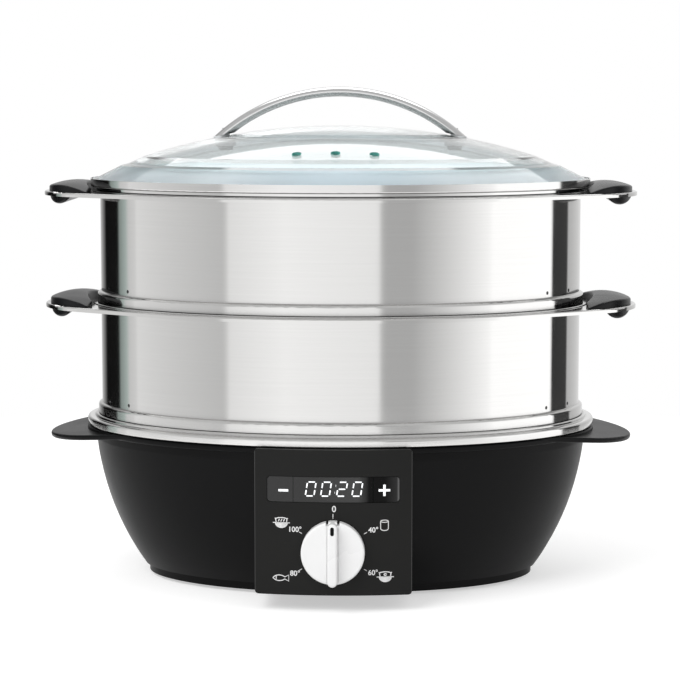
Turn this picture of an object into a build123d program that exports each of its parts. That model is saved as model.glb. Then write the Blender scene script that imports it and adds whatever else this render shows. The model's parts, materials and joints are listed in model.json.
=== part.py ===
from build123d import *
import math
import os

# Electric food steamer: an oval base that boils water, a drip tray, two stacked
# steel baskets and a glass lid. Millimetres, +Z up, +X to the user's right and +Y
# away from the user. The pieces are drawn round the middle of the ovals, with the
# worktop at 0, and are written out with the origin under the middle of the outline,
# which reaches from the knob's front to the back of the baskets' flanges.

os.makedirs("parts", exist_ok=True)

# ---------------------------------------------------------------- driving sizes
# the oval of the basket wall: every ring of the steamer runs parallel to it
wall_half_length = 178.4
wall_half_width = 122.4
sheet = 0.8                      # steel sheet
seat_gap = 0.3                   # between pieces that lift off each other
fit_gap = 0.05                   # between pieces that are fixed to each other
cut_past = 1.0                   # how far a cut runs past the face that it opens

# base housing
foot_height = 2.5
plinth_top = 8.5
plinth_half_length = 144.0
shell_bottom_half_length = 147.0
shell_top_half_length = 182.6
shell_top = 104.0
belly_radius = 205.0
shell_wall = 2.5
lip_half_length = 189.5
lip_bottom = 110.3
lip_top = 114.4
edge_round = 1.5

# side wings of the base
wing_reach = 217.6
wing_radius = 68.0
wing_thickness = 3.8
wing_root = 186.0
wing_root_top = 111.4
wing_droop = 6.6                 # degrees
wing_blend = 8.0                 # how far inside its round end a wing starts
bowl_core = 105.0                # half length where the swept section of the bowl starts
collar_half_length = 187.4       # upstanding collar under the tank's rim
collar_width = 3.2
collar_top = 118.3

# water tank and its polished rim
rim_half_length = 189.3
rim_bottom = 115.4
rim_top = 120.8
ledge_half_length = 183.2
ledge_top = 122.8
tank_half_length = 152.0
tank_floor_half_length = 142.0
tank_floor = 48.0
tank_corner = 12.0
bead_height = 1.5                # upstanding bead that centres what is stacked on it
bead_width = 1.6
bead_half_length = 179.8

# control panel
panel_width = 110.0
panel_bottom = 12.0
panel_top = 114.6
panel_front = 140.0              # distance of its middle in front of the origin
panel_radius = 260.0
panel_thickness = 3.0
panel_corner = 2.5
strip_width = 92.0
strip_height = 17.8
strip_level = 86.7
strip_corner = 2.5
strip_recess = 0.4
strip_thickness = 2.0
key_width = 18.0
key_gap = 0.3
key_travel = 1.0
flange_overlap = 2.5
flange_thickness = 1.2
panel_overhang = 0.5             # of the panel past the box behind it, on each side

# selector knob
knob_level = 43.2
knob_diameter = 44.4
knob_depth = 7.5
knob_gap = 0.5
knob_bar_width = 6.8
knob_bar_height = 8.5
knob_groove = 0.9
knob_notch = 2.6
knob_round = 1.6
knob_wall = 2.6
knob_hub_diameter = 13.0
pointer_width = 2.5
pointer_length = 6.0
pointer_radius = 17.2
pointer_depth = 1.2
shaft_diameter = 6.0
shaft_length = 19.0

# boards behind the panel
board_thickness = 1.6
board_width = 100.0
board_height = 85.0
board_front = 124.0              # distance in front of the origin
board_level = 64.0
post_diameter = 7.0
post_spread_x = 44.0
post_spread_z = 38.2
display_width = 50.0
display_height = 15.0
display_depth = 7.0
switch_size = 6.0
switch_body = 3.5
plunger_diameter = 3.5
selector_size = 26.0
selector_depth = 9.0
bush_diameter = 9.0
bush_length = 6.0
shaft_seat = 11.0                # how deep the shaft stands in the selector

# screws
screw_diameter = 3.0
screw_head_diameter = 6.0
screw_head_height = 2.2
board_screw_length = 9.0
power_screw_length = 8.0
cover_screw_length = 10.0
cover_screw_sink = 1.0

# bottom cover, feet and power board
cover_thickness = 2.5
cover_recess = 0.6
cover_gap = 1.4                  # all round, between the cover and the plinth
boss_diameter = 12.0
boss_height = 24.0
boss_half_length = 136.0
boss_angle = 38.0                # degrees round the oval
foot_diameter = 20.0
foot_half_length = 112.0
foot_angle = 42.0
foot_recess = 1.0
vent_count = 9
vent_length = 34.0
vent_width = 3.0
vent_pitch = 9.0
vent_y = -30.0
power_board_length = 96.0
power_board_width = 62.0
power_board_level = 14.0
power_board_y = 18.0
power_post_inset = 6.0
relay_length = 29.0
relay_width = 13.0
relay_height = 16.0
transformer_size = 24.0
transformer_height = 18.0

# heating element, probe and safety cut-out
element_diameter = 8.0
element_level = 62.0
element_half_length = 98.0
element_front = 46.0
element_rear = 50.0
element_corner = 36.0
element_leg_spread = 11.0
element_leg_bend = 10.0
element_leg_bottom = 37.0
terminal_diameter = 4.0
terminal_length = 6.0
grommet_diameter = 17.0
grommet_height = 3.0
grommet_neck = 12.0
probe_diameter = 6.0
probe_height = 22.0
probe_x = -70.0
probe_head = 14.0
probe_seal_thickness = 1.5
probe_nut_height = 3.0
cutout_diameter = 17.0
cutout_height = 9.0
cutout_x = 60.0

# mains cord gland
gland_level = 30.0
gland_pad_diameter = 22.0
gland_pad_face = 113.5
gland_neck_length = 12.0
gland_flange_diameter = 19.0
gland_flange_thickness = 2.2
gland_neck_diameter = 11.0
gland_bore = 7.2
gland_boot_length = 9.0
gland_boot_taper = 6.0           # degrees

# drip tray
tray_rim_half_length = 175.5
tray_half_length = 149.5
tray_floor_half_length = 144.0
tray_depth = 20.0
chimney_diameter = 26.0
chimney_height = 15.0
chimney_taper = 4.0
chimney_spread_x = 74.0
chimney_spread_y = 38.0
steam_slot_width = 3.0           # under the cap of each chimney
steam_slot_height = 6.0
steam_slot_pairs = 3

# baskets
skirt_half_length = 181.1
skirt_height = 6.6
shoulder_height = 1.2
basket_height = 82.8             # from the skirt's edge to the seat on top
seat_half_length = 184.4
seat_rise = 0.8
flange_half_length = 190.4
flange_edge = 3.0
ear_radius = 70.0
ear_reach = 220.0
flange_rim = 1.2
floor_level = 13.4
floor_thickness = 1.0
floor_margin = 12.0
floor_columns = 9
floor_rows = 5
floor_hole_diameter = 16.0
floor_hole_pitch = 38.0
pip_radius = 2.0
pip_turns = (0.045, 0.075, 0.425, 0.455, 0.545, 0.575, 0.925, 0.955)

# grips on the ears
grip_height = 7.5
grip_length = 39.0
grip_screw_length = 7.5
grip_tip_height = 3.6
grip_root_height = 4.6
grip_crown = 22.0                # from the ear's end in to the grip's highest line
grip_bow = 400.0                 # radius of the highest line from front to back
grip_edge = 1.8
grip_inner_half_length = 188.2
grip_margin = 3.6
grip_round = 2.4
under_grip_depth = 5.6
under_grip_root = 195.0
under_grip_margin = 4.2
under_grip_low = 206.5
under_grip_round = 1.5
grip_screw_x = 203.0
grip_screw_spread = 15.0

# lid
band_half_length = 185.5
band_bottom = 2.0                # above the edge of the lid's skirt
band_height = 6.2
glass_thickness = 4.0
glass_half_length = 184.2
glass_edge_rise = 3.9            # from the shelf up to the glass's outer corner
crease_half_length = 162.6
crease_rise = 14.65
shoulder_half_length = 157.0
shoulder_rise = 16.15
dome_join_half_length = 145.0
dome_radius = 479.0
dome_rise = 44.05
vent_hole_diameter = 7.0
vent_hole_pitch = 27.4
vent_hole_y = -90.0

# lid handle
handle_width = 16.0
handle_thickness = 7.6
handle_radius = 133.2            # middle line of the arch
handle_top = 361.0               # middle line at its highest
handle_swing = 49.0              # degrees each side of the middle, before its ends are cut
foot_pad_thickness = 1.0
foot_pad_x = 88.0
foot_pad_length = 12.0
foot_pad_width = 15.0
lid_screw_diameter = 5.0
lid_screw_x = 85.0
lid_screw_head = 11.0
lid_screw_head_height = 3.2
lid_screw_round = 1.9
lid_screw_grip = 4.5
lid_washer_diameter = 15.0
lid_washer_height = 3.6

# ------------------------------------------------------------- worked-out sizes
oval = Edge.make_ellipse(wall_half_length, wall_half_width)
oval_narrowing = wall_half_length - wall_half_width
half_sheet = sheet / 2
skirt_level = ledge_top + seat_gap
basket_pitch = basket_height + seat_gap
lid_level = skirt_level + 2 * basket_pitch
flange_top = basket_height - seat_rise
wall_middle = wall_half_length - half_sheet
panel_centre_y = panel_radius - panel_front
panel_box_width = panel_width - 2 * panel_overhang
plinth_inside = plinth_half_length - shell_wall
front_reach = panel_front + knob_gap + knob_depth + knob_bar_height + fit_gap
rear_reach = flange_half_length - oval_narrowing
cover_bottom = foot_height + cover_recess
cover_top = cover_bottom + cover_thickness
front_plane = Plane.XZ.offset(panel_front)


def oval_sketch(half_length):
    """Full oval that stands as far off the basket wall at its ends as at its sides."""
    with BuildSketch() as outline:
        Ellipse(half_length, half_length - oval_narrowing)
    return outline.sketch


def oval_ring(outer, inner, bottom, top):
    """Flat ring between two parallel ovals."""
    with BuildPart() as ring:
        with BuildSketch(Plane.XY.offset(bottom)):
            add(oval_sketch(outer))
            add(oval_sketch(inner), mode=Mode.SUBTRACT)
        extrude(amount=top - bottom)
    return ring.part


def bead_ring(bottom, top):
    """Upstanding bead that centres what is stacked on a seat."""
    return oval_ring(bead_half_length, bead_half_length - bead_width, bottom, top)


def sheet_ring(points, radii):
    """Steel sheet bent to a section and carried round the oval.

    The points are (half length, level) on the middle of the sheet.
    """
    with BuildPart() as ring:
        with BuildSketch(Plane.XZ):
            with BuildLine():
                FilletPolyline(*points, radius=radii)
            trace(line_width=sheet)
        sweep(path=oval)
    return ring.part


def eared_sketch(half_length, reach, radius):
    """Oval with a round ear at each end, joined by tangents."""
    with BuildSketch() as outline:
        Ellipse(half_length, half_length - oval_narrowing)
        with Locations((reach - radius, 0), (radius - reach, 0)):
            Circle(radius)
        make_hull()
    return outline.sketch


def curved_plate(width, height, level, corner, recess, thickness):
    """Plate that follows the panel's curve, sunk behind the panel's face."""
    with BuildPart() as plate:
        with BuildSketch(front_plane):
            with Locations((0, level)):
                RectangleRounded(width, height, corner)
        extrude(amount=-panel_front)
        with BuildSketch():
            with Locations((0, panel_centre_y)):
                Circle(panel_radius - recess)
                Circle(panel_radius - recess - thickness, mode=Mode.SUBTRACT)
        extrude(amount=lip_top + panel_top, mode=Mode.INTERSECT)
    return plate.part


def around(half_length, angle):
    """Four places on a parallel oval, one in each quarter."""
    half_width = half_length - oval_narrowing
    x = half_length * math.cos(math.radians(angle))
    y = half_width * math.sin(math.radians(angle))
    return [(x, y), (-x, y), (-x, -y), (x, -y)]


def screw_set(plane, places, length, gap=0.0):
    """Screws with their heads' seat on a plane and their tips along its normal.

    With a gap the same shape is the hole that they go through.
    """
    with BuildPart() as screws:
        with BuildSketch(plane):
            with Locations(*places):
                Circle(screw_diameter / 2 + gap)
        extrude(amount=length + gap)
        with BuildSketch(plane):
            with Locations(*places):
                Circle(screw_head_diameter / 2 + gap)
        extrude(amount=-screw_head_height * (2 if gap else 1))
    return screws.part


def finish(part, name):
    """Name a finished piece, set it over the origin and write it out."""
    placed = part.moved(Location((0, (front_reach - rear_reach) / 2, 0)))
    placed.label = name
    export_step(placed, f"parts/{name}.step")


# ------------------------------------------------------------------ base housing
def housing_section(inset, bottom, top):
    """Section of the bowl from a middle oval out to its wall, less an inset."""
    step = plinth_top + inset
    plinth = plinth_half_length - inset
    foot_of_wall = (shell_bottom_half_length - inset, step)
    head_of_wall = (shell_top_half_length - inset, shell_top)
    with BuildSketch(Plane.XZ) as section:
        with BuildLine():
            Polyline((bowl_core, top), (bowl_core, bottom), (plinth, bottom), (plinth, step), foot_of_wall)
            RadiusArc(foot_of_wall, head_of_wall, -belly_radius)
            Polyline(head_of_wall, (shell_top_half_length - inset, top), (bowl_core, top))
        make_face()
    return section.sketch


slope = math.radians(wing_droop)
wing_plane = Plane(
    origin=(0, 0, wing_root_top + wing_root * math.tan(slope)),
    x_dir=(math.cos(slope), 0, -math.sin(slope)),
    z_dir=(math.sin(slope), 0, math.cos(slope)),
)
with BuildPart() as wing:
    with BuildSketch(wing_plane):
        add(eared_sketch(lip_half_length - edge_round, wing_reach / math.cos(slope), wing_radius))
    extrude(amount=-wing_thickness)
    fillet(wing.faces().filter_by(wing_plane).edges(), radius=edge_round)
    with BuildSketch():
        add(oval_sketch(shell_top_half_length - shell_wall / 2))
    extrude(amount=lip_top * 2, mode=Mode.SUBTRACT)
    split(bisect_by=Plane.YZ.offset(wing_reach - wing_radius - wing_blend), keep=Keep.TOP)
    split(bisect_by=Plane.XY.offset(lip_top), keep=Keep.BOTTOM)

cover_screw_plane = Plane.XY.offset(cover_bottom + cover_screw_sink)
cover_screw_places = around(boss_half_length, boss_angle)
gland_plane = Plane.ZX.offset(gland_pad_face)

with BuildPart() as base_housing:
    add(housing_section(0, foot_height, lip_top))
    sweep(path=oval)
    # box behind the control panel
    with BuildSketch(Plane.XY.offset(panel_bottom)):
        with Locations((0, panel_centre_y)):
            Circle(panel_radius - panel_thickness - fit_gap)
        with Locations((0, -panel_front)):
            Rectangle(panel_box_width, panel_front, mode=Mode.INTERSECT)
    extrude(amount=lip_top - panel_bottom)
    # boss that the cord gland seats on
    with BuildSketch(gland_plane):
        with Locations((gland_level, 0)):
            Circle(gland_pad_diameter / 2)
    extrude(amount=-2 * gland_neck_length)
    # hollow of the bowl and of the box
    add(housing_section(shell_wall, 0, lip_top + cut_past))
    sweep(path=oval, mode=Mode.SUBTRACT)
    with BuildSketch(Plane.XY.offset(panel_bottom + shell_wall)):
        with Locations((0, -panel_front)):
            Rectangle(panel_box_width - 2 * shell_wall, panel_front)
    extrude(amount=lip_bottom - panel_bottom - shell_wall, mode=Mode.SUBTRACT)
    # lip, with the collar that carries the tank's rim
    with BuildSketch(Plane.XZ) as lip:
        with BuildLine():
            Polyline(
                (shell_top_half_length - shell_wall, lip_bottom),
                (lip_half_length, lip_bottom),
                (lip_half_length, lip_top),
                (shell_top_half_length - shell_wall, lip_top),
                close=True,
            )
        make_face()
        fillet(lip.vertices().group_by(Axis.X)[-1], radius=edge_round)
    sweep(path=oval)
    add(oval_ring(collar_half_length, collar_half_length - collar_width, lip_bottom, collar_top))
    add(wing.part)
    add(wing.part.mirror(Plane.YZ))
    # screw bosses for the bottom cover
    with BuildSketch(Plane.XY.offset(cover_top + fit_gap)):
        with Locations(*cover_screw_places):
            Circle(boss_diameter / 2)
    extrude(amount=boss_height)
    add(screw_set(cover_screw_plane, cover_screw_places, cover_screw_length, fit_gap), mode=Mode.SUBTRACT)
    # hole for the cord gland
    with BuildSketch(gland_plane):
        with Locations((gland_level, 0)):
            Circle(gland_neck_diameter / 2 + fit_gap)
    extrude(amount=-2 * gland_neck_length, mode=Mode.SUBTRACT)
finish(base_housing.part, "base_housing")

# ----------------------------------------- bottom cover, feet and cover screws
post_x = power_board_length / 2 - power_post_inset
post_y = power_board_width / 2 - power_post_inset
power_posts = [(x, power_board_y + y) for x in (-post_x, post_x) for y in (-post_y, post_y)]
power_screw_plane = Plane.XY.offset(power_board_level + board_thickness).rotated((180, 0, 0))
power_screw_places = [(x, -y) for x, y in power_posts]
foot_places = around(foot_half_length, foot_angle)

with BuildPart() as bottom_cover:
    with BuildSketch(Plane.XY.offset(cover_bottom)):
        add(oval_sketch(plinth_inside - cover_gap))
        with Locations((0, vent_y)):
            with GridLocations(vent_pitch, 0, vent_count, 1):
                SlotOverall(vent_length, vent_width, rotation=90, mode=Mode.SUBTRACT)
    extrude(amount=cover_thickness)
    with BuildSketch(Plane.XY.offset(cover_top)):
        with Locations(*power_posts):
            Circle(post_diameter / 2)
    extrude(amount=power_board_level - cover_top - fit_gap)
    with BuildSketch(Plane.XY.offset(cover_bottom)):
        with Locations(*foot_places):
            Circle(foot_diameter / 2 + fit_gap)
    extrude(amount=foot_recess, mode=Mode.SUBTRACT)
    add(screw_set(cover_screw_plane, cover_screw_places, cover_screw_length, fit_gap), mode=Mode.SUBTRACT)
    add(screw_set(power_screw_plane, power_screw_places, power_screw_length, fit_gap), mode=Mode.SUBTRACT)
finish(bottom_cover.part, "bottom_cover")

cover_screws = screw_set(cover_screw_plane, cover_screw_places, cover_screw_length)
finish(cover_screws, "cover_screws")

with BuildPart() as rubber_feet:
    with BuildSketch():
        with Locations(*foot_places):
            Circle(foot_diameter / 2)
    extrude(amount=cover_bottom + foot_recess - fit_gap)
    chamfer(rubber_feet.edges().group_by(Axis.Z)[0], length=foot_recess)
finish(rubber_feet.part, "rubber_feet")

# -------------------------------------------------- water tank and its fittings
leg_x = element_leg_spread
probe_floor = tank_floor + half_sheet
tank_edge = tank_floor_half_length - tank_corner
with BuildPart() as water_tank:
    add(
        sheet_ring(
            [
                (rim_half_length - half_sheet, rim_bottom),
                (rim_half_length - half_sheet, rim_top - half_sheet),
                (ledge_half_length + half_sheet, rim_top - half_sheet),
                (ledge_half_length - half_sheet, ledge_top - half_sheet),
                (tank_half_length, ledge_top - half_sheet),
                (tank_floor_half_length + half_sheet, tank_floor),
                (tank_edge - tank_corner, tank_floor),
            ],
            [edge_round, sheet, sheet, 4 * sheet, tank_corner],
        )
    )
    with BuildSketch(Plane.XY.offset(tank_floor - half_sheet)):
        add(oval_sketch(tank_edge))
    extrude(amount=sheet)
    add(bead_ring(ledge_top - half_sheet, ledge_top + bead_height))
    with BuildSketch(Plane.XY.offset(tank_floor - sheet)):
        with Locations((-leg_x, element_rear), (leg_x, element_rear)):
            Circle(grommet_neck / 2 + fit_gap)
        with Locations((probe_x, 0)):
            Circle(probe_diameter / 2 + fit_gap)
    extrude(amount=2 * sheet, mode=Mode.SUBTRACT)
finish(water_tank.part, "water_tank")

tank_gasket = oval_ring(
    collar_half_length - fit_gap,
    collar_half_length - collar_width + fit_gap,
    collar_top + fit_gap,
    rim_top - sheet - fit_gap,
)
finish(tank_gasket, "tank_gasket")

with BuildPart() as heating_element:
    with BuildLine():
        FilletPolyline(
            (-leg_x, element_rear, element_leg_bottom),
            (-leg_x, element_rear, element_level),
            (-element_half_length, element_rear, element_level),
            (-element_half_length, -element_front, element_level),
            (element_half_length, -element_front, element_level),
            (element_half_length, element_rear, element_level),
            (leg_x, element_rear, element_level),
            (leg_x, element_rear, element_leg_bottom),
            radius=[element_leg_bend] + [element_corner] * 4 + [element_leg_bend],
        )
    with BuildSketch(Plane.XY.offset(element_leg_bottom)):
        with Locations((-leg_x, element_rear)):
            Circle(element_diameter / 2)
    sweep()
    with BuildSketch(Plane.XY.offset(element_leg_bottom - terminal_length)):
        with Locations((-leg_x, element_rear), (leg_x, element_rear)):
            Circle(terminal_diameter / 2)
    extrude(amount=terminal_length)
finish(heating_element.part, "heating_element")

with BuildPart() as element_grommets:
    with Locations((-leg_x, element_rear), (leg_x, element_rear)):
        with Locations((0, 0, tank_floor + half_sheet + fit_gap)):
            Cylinder(grommet_diameter / 2, grommet_height, align=(Align.CENTER, Align.CENTER, Align.MIN))
        with Locations((0, 0, tank_floor - half_sheet - fit_gap)):
            Cylinder(grommet_diameter / 2, grommet_height / 2, align=(Align.CENTER, Align.CENTER, Align.MAX))
        with Locations((0, 0, tank_floor)):
            Cylinder(grommet_neck / 2, grommet_height)
            Cylinder(element_diameter / 2 + fit_gap, 4 * grommet_height, mode=Mode.SUBTRACT)
finish(element_grommets.part, "element_grommets")

with BuildPart() as temperature_probe:
    with BuildSketch(Plane.XZ):
        with BuildLine():
            Polyline(
                (0, probe_floor - probe_height / 2),
                (probe_diameter / 2, probe_floor - probe_height / 2),
                (probe_diameter / 2, probe_floor + probe_seal_thickness + fit_gap),
                (probe_head / 2, probe_floor + probe_seal_thickness + fit_gap),
                (probe_head / 2, probe_floor + 2 * probe_seal_thickness),
                (probe_diameter / 2, probe_floor + 2 * probe_seal_thickness),
                (probe_diameter / 2, probe_floor + probe_height),
                (0, probe_floor + probe_height),
                close=True,
            )
        make_face()
    revolve(axis=Axis.Z)
    fillet(temperature_probe.edges().group_by(Axis.Z)[-1], radius=probe_diameter / 3)
temperature_probe.part.position = (probe_x, 0, 0)
finish(temperature_probe.part, "temperature_probe")

with BuildPart() as probe_seal:
    with BuildSketch(Plane.XY.offset(probe_floor + fit_gap)):
        with Locations((probe_x, 0)):
            Circle(probe_head / 2)
            Circle(probe_diameter / 2 + fit_gap, mode=Mode.SUBTRACT)
    extrude(amount=probe_seal_thickness - fit_gap)
finish(probe_seal.part, "probe_seal")

with BuildPart() as probe_nut:
    with BuildSketch(Plane.XY.offset(tank_floor - half_sheet - fit_gap)):
        with Locations((probe_x, 0)):
            RegularPolygon(probe_head / 2, 6)
            Circle(probe_diameter / 2 + fit_gap, mode=Mode.SUBTRACT)
    extrude(amount=-probe_nut_height)
finish(probe_nut.part, "probe_nut")

with BuildPart() as safety_cutout:
    with BuildSketch(Plane.XY.offset(tank_floor - half_sheet - fit_gap)):
        with Locations((cutout_x, 0)):
            Circle(cutout_diameter / 2)
    extrude(amount=-cutout_height)
    with BuildSketch(Plane.XY.offset(tank_floor - half_sheet - fit_gap)):
        with Locations((cutout_x, 0)):
            SlotOverall(2 * cutout_diameter, cutout_diameter / 2)
    extrude(amount=-sheet)
finish(safety_cutout.part, "safety_cutout")

# --------------------------------------------------- power board and cord gland
with BuildPart() as power_board:
    with BuildSketch(Plane.XY.offset(power_board_level)):
        with Locations((0, power_board_y)):
            RectangleRounded(power_board_length, power_board_width, power_post_inset / 2)
    extrude(amount=board_thickness)
    add(screw_set(power_screw_plane, power_screw_places, power_screw_length, fit_gap), mode=Mode.SUBTRACT)
finish(power_board.part, "power_board")
finish(screw_set(power_screw_plane, power_screw_places, power_screw_length), "power_board_screws")

with BuildPart() as heater_relay:
    with BuildSketch(Plane.XY.offset(power_board_level + board_thickness + fit_gap)):
        with Locations((-power_board_length / 4, power_board_y)):
            Rectangle(relay_length, relay_width)
    extrude(amount=relay_height)
    fillet(heater_relay.edges().filter_by(Axis.Z), radius=sheet)
finish(heater_relay.part, "heater_relay")

with BuildPart() as transformer:
    with BuildSketch(Plane.XY.offset(power_board_level + board_thickness + fit_gap)):
        with Locations((power_board_length / 4, power_board_y)):
            Rectangle(transformer_size, transformer_size)
    extrude(amount=transformer_height)
    chamfer(transformer.edges().filter_by(Axis.Z), length=sheet)
finish(transformer.part, "transformer")

with BuildPart() as cord_gland:
    with BuildSketch(gland_plane.offset(fit_gap)):
        with Locations((gland_level, 0)):
            Circle(gland_flange_diameter / 2)
    extrude(amount=gland_flange_thickness)
    with BuildSketch(gland_plane):
        with Locations((gland_level, 0)):
            Circle(gland_neck_diameter / 2)
    extrude(amount=gland_boot_length, taper=gland_boot_taper)
    with BuildSketch(gland_plane.offset(fit_gap)):
        with Locations((gland_level, 0)):
            Circle(gland_neck_diameter / 2)
    extrude(amount=-gland_neck_length)
    with BuildSketch(gland_plane.offset(-gland_neck_length)):
        with Locations((gland_level, 0)):
            Circle(gland_bore / 2)
    extrude(amount=gland_neck_length + gland_boot_length, mode=Mode.SUBTRACT)
finish(cord_gland.part, "cord_gland")

# ------------------------------------------------------------------ control panel
panel_level = (panel_top + panel_bottom) / 2
board_posts = [
    (x, board_level + z)
    for x in (-post_spread_x, post_spread_x)
    for z in (-post_spread_z, post_spread_z)
]
board_front_plane = Plane.XZ.offset(board_front)
board_back_plane = Plane.XZ.offset(board_front - board_thickness)

with BuildPart() as control_panel:
    add(curved_plate(panel_width, panel_top - panel_bottom, panel_level, panel_corner, 0, panel_thickness))
    opening = strip_width + 2 * key_gap, strip_height + 2 * key_gap
    add(curved_plate(*opening, strip_level, strip_corner, -cut_past, 2 * panel_thickness), mode=Mode.SUBTRACT)
    with BuildSketch(board_front_plane.offset(fit_gap)):
        with Locations(*board_posts):
            Circle(post_diameter / 2)
    extrude(until=Until.NEXT)
    with BuildSketch(board_front_plane):
        with Locations((0, knob_level)):
            Circle(bush_diameter / 2 + fit_gap)
    extrude(amount=panel_front, mode=Mode.SUBTRACT)
    add(screw_set(board_back_plane, board_posts, board_screw_length, fit_gap), mode=Mode.SUBTRACT)
finish(control_panel.part, "control_panel")


def strip_piece(low, high, flange_gap):
    """Length of the display strip with the flange that holds it behind the panel."""
    flange = strip_width + 2 * flange_overlap, strip_height + 2 * flange_overlap
    recess = panel_thickness + flange_gap
    with BuildPart() as piece:
        add(curved_plate(strip_width, strip_height, strip_level, strip_corner, strip_recess, recess))
        add(curved_plate(*flange, strip_level, strip_corner, recess, flange_thickness))
        with BuildSketch(Plane.XY.offset(panel_bottom)):
            with Locations(((low + high) / 2, -panel_front)):
                Rectangle(high - low, panel_front)
        extrude(amount=panel_top, mode=Mode.INTERSECT)
    return piece.part


lens_end = strip_width / 2 - key_width - key_gap
key_start = strip_width / 2 - key_width
finish(strip_piece(-lens_end, lens_end, fit_gap), "display_lens")
finish(strip_piece(-strip_width, -key_start, key_gap), "minus_key")
finish(strip_piece(key_start, strip_width, key_gap), "plus_key")

# --------------------------------------------------------- boards behind the panel
with BuildPart() as control_board:
    with BuildSketch(board_back_plane):
        with Locations((0, board_level)):
            RectangleRounded(board_width, board_height, board_thickness)
    extrude(amount=board_thickness)
    add(screw_set(board_back_plane, board_posts, board_screw_length, fit_gap), mode=Mode.SUBTRACT)
finish(control_board.part, "control_board")
finish(screw_set(board_back_plane, board_posts, board_screw_length), "board_screws")

with BuildPart() as display_module:
    with BuildSketch(board_front_plane.offset(fit_gap)):
        with Locations((0, strip_level)):
            Rectangle(display_width, display_height)
    extrude(amount=display_depth)
finish(display_module.part, "display_module")

# the plungers stop just short of the pressed keys
key_middle = (key_start + strip_width / 2) / 2
key_back_radius = panel_radius - panel_thickness - key_gap - flange_thickness
key_edge = key_middle + plunger_diameter / 2
key_back = math.sqrt(key_back_radius**2 - key_edge**2) - panel_centre_y
with BuildPart() as key_switches:
    with BuildSketch(board_front_plane.offset(fit_gap)):
        with Locations((-key_middle, strip_level), (key_middle, strip_level)):
            Rectangle(switch_size, switch_size)
    extrude(amount=switch_body)
    with BuildSketch(board_front_plane.offset(switch_body)):
        with Locations((-key_middle, strip_level), (key_middle, strip_level)):
            Circle(plunger_diameter / 2)
    extrude(amount=key_back - key_travel - key_gap - board_front - switch_body)
finish(key_switches.part, "key_switches")

with BuildPart() as rotary_selector:
    with BuildSketch(board_front_plane.offset(fit_gap)):
        with Locations((0, knob_level)):
            RectangleRounded(selector_size, selector_size, board_thickness)
    extrude(amount=selector_depth)
    with BuildSketch(board_front_plane.offset(selector_depth)):
        with Locations((0, knob_level)):
            Circle(bush_diameter / 2)
    extrude(amount=bush_length)
    with BuildSketch(board_front_plane.offset(selector_depth + bush_length - shaft_seat)):
        with Locations((0, knob_level)):
            Circle(shaft_diameter / 2 + fit_gap)
    extrude(amount=shaft_seat, mode=Mode.SUBTRACT)
finish(rotary_selector.part, "rotary_selector")

# -------------------------------------------------------------------------- knob
knob_back = panel_front + knob_gap
shaft_end = board_front + selector_depth + bush_length - shaft_seat + key_gap
knob_radius = knob_diameter / 2
groove_x = (knob_bar_width + knob_groove) / 2
with BuildPart() as knob:
    with BuildSketch(Plane.XZ.offset(knob_back)):
        with Locations((0, knob_level)):
            Circle(knob_radius)
    extrude(amount=knob_depth)
    fillet(knob.faces().sort_by(Axis.Y)[0].edges(), radius=knob_round)
    with BuildSketch(Plane.XZ.offset(knob_back + knob_depth - knob_groove)):
        with Locations((-groove_x, knob_level), (groove_x, knob_level)):
            Rectangle(knob_groove, knob_diameter)
    extrude(amount=knob_depth, mode=Mode.SUBTRACT)
    with BuildSketch(Plane.XZ.offset(knob_back)):
        with Locations((-groove_x, knob_level + knob_radius), (groove_x, knob_level + knob_radius)):
            Rectangle(2 * knob_groove, 2 * knob_notch)
    extrude(amount=knob_depth, mode=Mode.SUBTRACT)
    with BuildSketch(Plane.XZ.offset(knob_back)):
        with Locations((0, knob_level)):
            SlotOverall(knob_diameter, knob_bar_width, rotation=90)
    extrude(amount=knob_depth + knob_bar_height)
    fillet(knob.faces().sort_by(Axis.Y)[0].edges(), radius=knob_round)
    with BuildSketch(Plane.XZ.offset(knob_back)):
        with Locations((0, knob_level)):
            Circle(knob_radius - knob_wall)
            Circle(knob_hub_diameter / 2, mode=Mode.SUBTRACT)
            Rectangle(knob_bar_width, knob_diameter, mode=Mode.SUBTRACT)
    extrude(amount=knob_depth - knob_wall, mode=Mode.SUBTRACT)
    with BuildSketch(Plane.XZ.offset(knob_back)):
        with Locations((0, knob_level)):
            Circle(shaft_diameter / 2 + fit_gap)
    extrude(amount=shaft_length - (knob_back - shaft_end) + fit_gap, mode=Mode.SUBTRACT)
    with BuildSketch(Plane.XZ.offset(knob_back + knob_depth + knob_bar_height - pointer_depth)):
        with Locations((0, knob_level + pointer_radius)):
            SlotOverall(pointer_length + 2 * fit_gap, pointer_width + 2 * fit_gap, rotation=90)
    extrude(amount=pointer_depth, mode=Mode.SUBTRACT)
finish(knob.part, "knob")

with BuildPart() as knob_pointer:
    with BuildSketch(Plane.XZ.offset(knob_back + knob_depth + knob_bar_height - pointer_depth + fit_gap)):
        with Locations((0, knob_level + pointer_radius)):
            SlotOverall(pointer_length, pointer_width, rotation=90)
    extrude(amount=pointer_depth)
finish(knob_pointer.part, "knob_pointer")

with BuildPart() as selector_shaft:
    with BuildSketch(Plane.XZ.offset(shaft_end)):
        with Locations((0, knob_level)):
            Circle(shaft_diameter / 2)
    extrude(amount=shaft_length)
finish(selector_shaft.part, "selector_shaft")

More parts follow.
